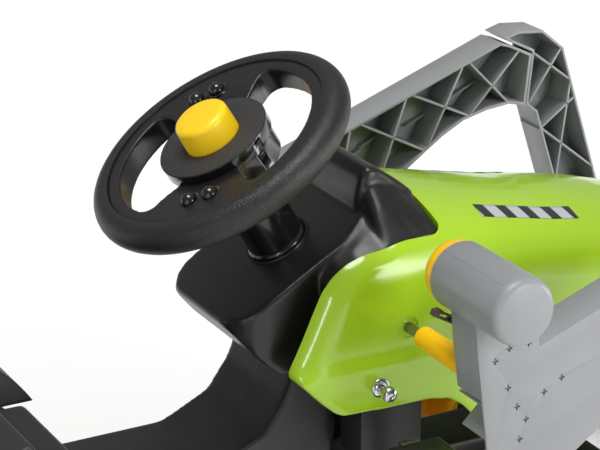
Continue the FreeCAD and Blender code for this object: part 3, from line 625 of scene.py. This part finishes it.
label, shader, place = start_material("label_film", {})
slant = place.along("X") + place.along("Z") * 0.35
bars = (place.along("X") * 1.0 + place.along("Z") * 0.35).sum("PINGPONG", slant, 0.012)
feed(shader, "Base Color", bars.between(0.0052, 0.0058).blend(tone((40, 42, 44), 1), tone((176, 180, 184), 1)))
feed(shader, "Roughness", 0.3 + place.noise(6, 3) * 0.15)
for sign, side in ((-1, "right"), (1, "left")):
    bpy.ops.object.select_all(action="DESELECT")
    bpy.ops.mesh.primitive_grid_add(x_subdivisions=40, y_subdivisions=6, size=mm)
    film = bpy.context.object
    film.name = film.data.name = "bonnet.label." + side
    place_on(film, Matrix.Translation((0.144, sign * 0.071, 0.424)) @ Matrix.Rotation(math.radians(11), 4, "Y")
             @ Matrix.Rotation(math.radians(-14 * sign), 4, "X") @ Matrix.Diagonal((112, 22, 1, 1)))
    drape = film.modifiers.new("drape", "SHRINKWRAP")
    drape.target, drape.wrap_method, drape.offset = bonnet, "NEAREST_SURFACEPOINT", 0.0005
    drape.wrap_mode = "ABOVE_SURFACE"
    thick = film.modifiers.new("thick", "SOLIDIFY")
    thick.thickness = 0.0003
    finish_modifiers(film)
    bpy.ops.object.shade_smooth()
    settle(film, "chassis", label, "grey")

# ---------------------------------------------------------------- loader axle
# A steel rod through the bonnet, with an orange-yellow spacer each side, carries
# both loader arms and ends in blind holes inside them.
amber = moulded("amber_plastic", (255, 196, 8), 0.33, grain=1.5, strength=0.08, drift=0.04)
eased_nodes("chassis", plated("axle_steel", (150, 150, 144), 0.26), "steel", 0.6, "loader_axle")
spacer = turned_on("loader.spacer.left", [
    (5.1, 0), (5.1, -89), (9.2, -89.6), (10.4, -88.8), (10.8, -87), (10.8, -1.5), (10.2, 0),
], -18, 232.6, 342, 64)
settle(twin(spacer, "loader.spacer.right"), "chassis", amber, "yellow")
settle(spacer, "chassis", amber, "yellow", "loader_spacers")

# ---------------------------------------------------------------- steering column
# A bent steel rod runs down through a glossy black sleeve to the drop arm that
# works the tie rods.
black_gloss = moulded("black_gloss", (16, 16, 16), 0.2, grain=2.5, strength=0.03, drift=0.1,
                      Coat_Weight=0.4)
eased_nodes("steering", steel, "steel", 0.5, "steering_column drop_arm")
sleeve = turned("steering.sleeve", [
    (6.2, -12.8), (28.4, -12.8), (28.4, -40), (27.6, -60), (27.4, -98), (27.7, -108), (29.4, -109.5),
    (30, -111), (30, -112.8), (6.2, -112.8),
], 96)
place_on(sleeve, lean)
settle(sleeve, "steering", black_gloss, "black_plastic", "steering_sleeve")

# ---------------------------------------------------------------- steering wheel
# The rim is a thick black moulding with a leather grain.  Inside it a smooth web
# with two tall kidney openings dips towards the hub.
leather, shader, place = start_material("leather_grain_black", {})
creases = place.cells(2.0, "DISTANCE_TO_EDGE").between(0.0, 0.28)
pores = place.noise(0.7, 3)
feed(shader, "Base Color", place.noise(40).blend(tone((24, 23, 22), 0.85), tone((28, 27, 26), 1.1)))
feed(shader, "Roughness", 0.44 - creases * 0.08 + (place.noise(8, 4) - 0.5) * 0.12)
raise_grain(shader, creases * 0.8 + pores * 0.4, 0.55, 0.35)
web_black = moulded("web_black", (24, 23, 23), 0.37, grain=0.8, strength=0.12)

arc = [(115 + 15 * math.cos(math.radians(a)), 15.4 * math.sin(math.radians(a))) for a in range(-108, 109, 12)]
rim = turned("wheel.rim", [(110, -13.6), (110.3, -14.2)] + arc + [(110.3, 14.3), (110, 13.7)], 200)
place_on(rim, lean)
settle(rim, "steering", leather, "black_wheel", "steering_wheel")


def window(inner, outer, start, end, fillet):
    """Outline of a ring sector whose four corners are rounded."""
    near = math.degrees(math.asin(fillet / (inner + fillet)))
    far = math.degrees(math.asin(fillet / (outer - fillet)))
    points = []

    def sweep(radius, centre, first, last, steps):
        for step in range(steps + 1):
            a = math.radians(first + (last - first) * step / steps)
            points.append((centre[0] + radius * math.cos(a), centre[1] + radius * math.sin(a)))

    def polar(radius, degrees):
        return radius * math.cos(math.radians(degrees)), radius * math.sin(math.radians(degrees))

    sweep(outer, (0, 0), start + far, end - far, 24)
    sweep(fillet, polar(outer - fillet, end - far), end - far + 12, end + 90, 6)
    sweep(fillet, polar(inner + fillet, end - near), end + 90 + 12, end - near + 180, 6)
    sweep(inner, (0, 0), end - near - 3, start + near + 3, 14)
    sweep(fillet, polar(inner + fillet, start + near), start + near + 180, start + 258, 6)
    sweep(fillet, polar(outer - fillet, start + far), start + 270, start + far + 348, 6)
    return points


web = turned("wheel.web", [
    (50.2, 7), (56, 7.4), (62, 8.6), (70, 10.2), (80, 11.6), (98, 12.6), (106, 13.0), (110.6, 13.3),
    (110.6, -12.6), (106, -12.4), (98, -12), (80, -11.5), (60, -11), (50.2, -11),
], 160)
for start, end in ((93, 196), (-100, 28)):
    meet(web, slab("window", window(50, 98, start, end, 12), -25, 25, "XY"))
melted(web, 1.25, 14)
place_on(web, lean)
settle(web, "steering", web_black, "black_wheel", "steering_wheel")

# ---------------------------------------------------------------- hub and horn
# The hub is a matt disc on a slightly smaller glossy drum.  Four glossy domes sit
# on the web, and a yellow horn button slides in the middle.
disc_black, shader, place = start_material("disc_matt_black", {})
flecks = place.noise(1.1, 4)
feed(shader, "Base Color", flecks.between(0.42, 0.66).blend(tone((34, 33, 34), 1), tone((58, 57, 57), 1)))
feed(shader, "Roughness", 0.58 + (place.noise(7, 4) - 0.5) * 0.2)
raise_grain(shader, flecks, 0.35, 0.1)
disc = turned("hub.disc", [
    (27.4, 8), (27.4, 16.2), (28.2, 16.9), (52.2, 16.9), (53.4, 16.5), (53.9, 15.6), (53.9, 15.0),
    (27.4, 8.2),
], 128)
place_on(disc, lean)
settle(disc, "steering", disc_black, "black_plastic", "hub_disc")
drum = turned("hub.drum", [
    (26, 5), (53.6, 15.0), (53.6, 3.4), (53.0, 2.6), (51.4, 2.4), (51.0, 1.8), (50.6, -21.4),
    (49.6, -22.6), (30, -22.6),
    (30, 4.6), (26, 4.6),
], 128)
for degrees in (-68, 112):
    bpy.ops.object.select_all(action="DESELECT")
    bpy.ops.mesh.primitive_cube_add(size=mm)
    notch = bpy.context.object
    place_on(notch, Matrix.Rotation(math.radians(degrees), 4, "Z") @ Matrix.Translation((0.0535, 0, 0.004))
             @ Matrix.Diagonal((8, 11, 15, 1)))
    eased(notch, 2.2, 3)
    meet(drum, notch)
place_on(drum, lean)
settle(drum, "steering", black_gloss, "black_plastic", "hub_disc")

bead = turned("bead", [
    (0, 19.8), (2.0, 19.6), (4.2, 18.6), (6.2, 16.8), (7.4, 14.6), (7.8, 12.6), (7.8, 11.4), (8.4, 11.0),
    (9.2, 11.7), (10.0, 12.5), (10.7, 12.4), (11.2, 11.4), (11.4, 8), (0, 8),
], 48)
beads = []
for degrees in (58, 72.5, 222, 236.5):
    dome = bead.copy()
    dome.data = bead.data.copy()
    bpy.context.scene.collection.objects.link(dome)
    place_on(dome, lean @ Matrix.Rotation(math.radians(degrees), 4, "Z") @ Matrix.Translation((0.0835, 0, 0)))
    beads.append(dome)
bpy.data.objects.remove(bead)
beads[0].name = beads[0].data.name = "hub.beads"
join(*beads)
settle(beads[0], "steering", black_gloss, "black_gloss", "hub_domes")

horn_yellow = moulded("horn_yellow", (255, 211, 20), 0.36, grain=1.0, strength=0.1, drift=0.03)
button = turned("horn.button", [
    (0, 43), (10, 42.9), (19, 42.5), (22.4, 41.9), (24.4, 40.6), (25.6, 38.8), (26.0, 36.4), (26.8, 10),
    (26.8, 9.4),
    (0, 9.4),
], 96)
split = slab("split", [(-21, -0.3), (19, -0.3), (19, 0.3), (-21, 0.3)], 40, 42.9, "XY")
join(button, eased(split, 0.25))
place_on(button, lean)
settle(button, "horn", horn_yellow, "yellow", "horn_button")

# ---------------------------------------------------------------- loader arms
# Each arm is a grey glass filled channel, open towards the rider, stiffened by
# crossed ribs.  The front leg is a second channel bolted on at the elbow.
arm_grey = moulded("arm_grey", (140, 142, 144), 0.38, grain=0.9, strength=0.12, drift=0.07)


def tray(name, points, low, high, wall=3.0):
    """A channel: the outline pulled out, then hollowed from its lower side."""
    piece = slab(name, points, low, high)
    edit(piece)
    bpy.ops.mesh.select_mode(type="FACE")
    bpy.ops.mesh.select_all(action="DESELECT")
    mesh = bmesh.from_edit_mesh(piece.data)
    for face in mesh.faces:
        face.select_set(face.normal.y < -0.9)
    bmesh.update_edit_mesh(piece.data)
    bpy.ops.mesh.inset(thickness=wall * mm)
    bpy.ops.mesh.extrude_region_move(TRANSFORM_OT_translate={"value": (0, (high - low - wall) * mm, 0)})
    leave()
    return piece


def ribs(name, lines, low, high, half=1.25):
    """Thin upright ribs along the lines given, softened along their edges."""
    parts = []
    for x0, z0, x1, z1 in lines:
        run = math.hypot(x1 - x0, z1 - z0)
        across = Vector((-(z1 - z0), x1 - x0)) / run * half
        bar = slab(name, [
            (x0 - across.x, z0 - across.y), (x1 - across.x, z1 - across.y),
            (x1 + across.x, z1 + across.y), (x0 + across.x, z0 + across.y),
        ], low, high)
        parts.append(eased(bar, 0.5))
    return join(*parts)


def rod(name, radius, x, z, low, high, sides=48):
    """A round bar across the machine from one side distance to another."""
    bpy.ops.object.select_all(action="DESELECT")
    bpy.ops.mesh.primitive_cylinder_add(vertices=sides, radius=radius * mm, depth=(high - low) * mm,
                                        location=(x * mm, (low + high) / 2 * mm, z * mm),
                                        rotation=(math.pi / 2, 0, 0))
    piece = bpy.context.object
    piece.name = piece.data.name = name
    bpy.ops.object.transform_apply(location=True, rotation=True, scale=True)
    return piece


arm = tray("loader.arm.left", [
    (-28, 262), (58, 262), (183, 349), (210, 368), (235, 385), (262, 399), (291, 406),
    (320, 409), (342, 404), (348, 462), (320, 476), (307, 480), (20, 375), (10, 410), (-47, 410), (-44, 380),
], 233, 273)
meet(arm, rod("boss", 13, -18, 342, 234, 272), "UNION")
for radius, x, z, high in ((5.05, -18, 342, 268.5), (4, 296, 440, 290)):
    meet(arm, rod("hole", radius, x, z, 220, high))
reach, thick = 3.2, 0.9
plus = [(-reach, -thick), (-thick, -thick), (-thick, -reach), (thick, -reach), (thick, -thick), (reach, -thick),
        (reach, thick), (thick, thick), (thick, reach), (-thick, reach), (-thick, thick), (-reach, thick)]
for x, z in (
    (-26, 370), (-12, 379), (-12, 342), (-2, 322), (8, 308), (26, 330), (44, 340), (8, 380), (2, 290),
):
    meet(arm, slab("plus", [(x + a, z + b) for a, b in plus], 270.8, 280))
meet(arm, slab("way", [(-52, 255), (-24, 255), (-24, 334), (-52, 334)], 228, 270))
eased(arm, 0.9, 2, 40)
web_ribs = ribs("rib", [
    (132, 414, 214, 371), (150, 327, 189, 435), (196, 437, 270, 402), (216, 373, 260, 461),
    (268, 463, 320, 410), (270, 403, 332, 468), (96, 290, 120, 410), (62, 388, 148, 326),
    (60, 264, 64, 388), (-36, 330, 60, 264), (-32, 296, 60, 388), (-40, 404, 22, 372),
], 233.6, 271)
strips = ribs("strip", [
    (150, 378, 198, 399), (206, 392, 246, 409), (262, 416, 300, 433), (110, 355, 150, 375),
], 262, 271, 1.0)
join(arm, web_ribs, strips)
settle(twin(arm, "loader.arm.right"), "loader", arm_grey, "grey", "loader_arm_right")
settle(arm, "loader", arm_grey, "grey", "loader_arm_left")

leg = tray("front.leg.left", [
    (342.6, 404), (356, 394), (448, 118), (458, 92), (478, 82), (500, 92), (506, 112),
    (390, 464), (362, 487), (330, 490), (311, 484.6), (321, 478.6), (348.6, 464.6), (348.6, 462),
], 233, 273)
for x, z, radius in ((446, 199, 17), (480, 105, 14)):
    meet(leg, rod("boss", radius, x, z, 234, 272), "UNION")
for radius, x, z in ((6.05, 480, 105), (4, 366, 430)):
    meet(leg, rod("hole", radius, x, z, 220, 290))
eased(leg, 0.9, 2, 40)
leg_ribs = ribs("rib", [
    (346, 404, 388, 464), (352, 462, 400, 426), (362, 372, 408, 404), (402, 424, 386, 300),
    (386, 304, 444, 292), (444, 292, 412, 222), (362, 376, 436, 318), (412, 226, 468, 218),
], 233.6, 271)
join(leg, leg_ribs)
settle(twin(leg, "front.leg.right"), "loader", arm_grey, "grey", "front_leg_right")
settle(leg, "loader", arm_grey, "grey", "front_leg_left")
eased_nodes("loader", zinc, "steel", 1.2, "elbow_bolts")
eased_nodes("loader", arm_grey, "grey", 0.6, "cross_tube")

# ---------------------------------------------------------------- loader handles
# A grey barrel with a moulding seam tops each arm, closed inside by an orange
# cap.  A brown wire-like lever under it releases the bucket.
grip_x, grip_in, grip_z, seam_angle = -25, 211, 429, math.radians(124)
grip = turned_on("handle.barrel.left", [
    (26.1, 0.2), (28.8, 0.2), (30.3, 0.9), (31, 2.4), (31, 95), (30.2, 99.6), (28, 103.2), (24.6, 104.8),
    (0, 104.9), (0, 101), (26.1, 101),
], grip_x, grip_in, grip_z, 96)
seam = ribs("seam", [
    (grip_x + 30.6 * math.cos(a), grip_z + 30.6 * math.sin(a),
     grip_x + 31.3 * math.cos(a), grip_z + 31.3 * math.sin(a))
    for a in (seam_angle, seam_angle + math.pi)], 212, 304, 0.45)
join(grip, seam)
cap = turned_on("handle.cap.left", [
    (0, -18), (14, -17.6), (22, -16), (27, -13), (29, -9.4), (29.8, -5), (29.8, 0.15),
    (25.9, 0.15), (25.9, 8), (0, 8),
], grip_x, grip_in, grip_z, 96)
settle(twin(grip, "handle.barrel.right"), "loader", arm_grey, "grey")
settle(twin(cap, "handle.cap.right"), "loader", amber, "yellow")
settle(grip, "loader", arm_grey, "grey", "handle_barrels")
settle(cap, "loader", amber, "yellow", "handle_caps")
eased_nodes("loader", steel, "steel", 0.5, "trip_pins")
lever_brown = moulded("lever_brown", (74, 62, 52), 0.34, grain=1.2, strength=0.15)
for side in ("left", "right"):
    eased_nodes("trip_" + side, lever_brown, "brown", 1.4, "trip_lever_" + side)

# ---------------------------------------------------------------- bucket
# A charcoal bucket with a steel wear edge swings on two pins at the arm ends.
bucket_grey = moulded("bucket_grey", (62, 64, 66), 0.48, grain=1.8, strength=0.3)
eased_nodes("bucket", bucket_grey, "charcoal", 1.2, "bucket")
eased_nodes("bucket", steel, "charcoal", 0.6, "bucket_edge bucket_pins")

# ---------------------------------------------------------------- studio
# A pale floor, large soft lights and the camera over the rider's right shoulder.
floor_material, shader, place = start_material("studio_floor", {"Specular IOR Level": 0.1})
feed(shader, "Base Color", place.noise(900).blend((0.9, 0.9, 0.9, 1), (0.93, 0.93, 0.93, 1)))
feed(shader, "Roughness", 0.8 + place.noise(60) * 0.1)
bpy.ops.object.select_all(action="DESELECT")
bpy.ops.mesh.primitive_plane_add(size=40)
floor = bpy.context.object
floor.name = "floor"
floor.data.materials.append(floor_material)

world = bpy.data.worlds.new("studio")
world.use_nodes = True
sky = world.node_tree
seen = sky.nodes.new("ShaderNodeLightPath")
backdrop = sky.nodes["Background"]
backdrop.inputs[0].default_value = (1, 1, 1, 1)
level = sky.nodes.new("ShaderNodeMapRange")
level.inputs["To Min"].default_value, level.inputs["To Max"].default_value = 0.31, 1.0
sky.links.new(seen.outputs["Is Camera Ray"], level.inputs["Value"])
sky.links.new(level.outputs[0], backdrop.inputs[1])
bpy.context.scene.world = world


def lamp(name, kind, spot, target, power, **settings):
    light = bpy.data.lights.new(name, kind)
    light.energy = power
    for word, value in settings.items():
        setattr(light, word, value)
    holder = bpy.data.objects.new(name, light)
    bpy.context.scene.collection.objects.link(holder)
    holder.location = spot
    holder.rotation_euler = (Vector(target) - Vector(spot)).to_track_quat("-Z", "Y").to_euler()


lamp("ceiling", "SUN", (-0.3, -0.2, 3), (0, 0, 0), 2.4, angle=math.radians(32))
lamp("window", "AREA", (-2.4, -2.0, 1.1), (0, 0, 0.4), 9, shape="RECTANGLE", size=0.16, size_y=0.9)
lamp("softbox", "AREA", (1.2, -3.0, 1.2), (0, 0, 0.4), 46, shape="RECTANGLE", size=0.9, size_y=1.6)
lamp("side light", "AREA", (2.5, -1.1, 0.5), (0, 0, 0.4), 24, shape="RECTANGLE", size=1.0, size_y=1.0)

eye = bpy.data.cameras.new("camera")
eye.lens, eye.sensor_width = 137.2, 36.0
camera = bpy.data.objects.new("camera", eye)
bpy.context.scene.collection.objects.link(camera)
camera.location = (-1.028, -1.767, 1.164)
camera.rotation_euler = (math.radians(90 - 20.49), 0, math.radians(-28.52))
bpy.context.scene.camera = camera
bpy.context.scene.view_settings.view_transform = "Standard"
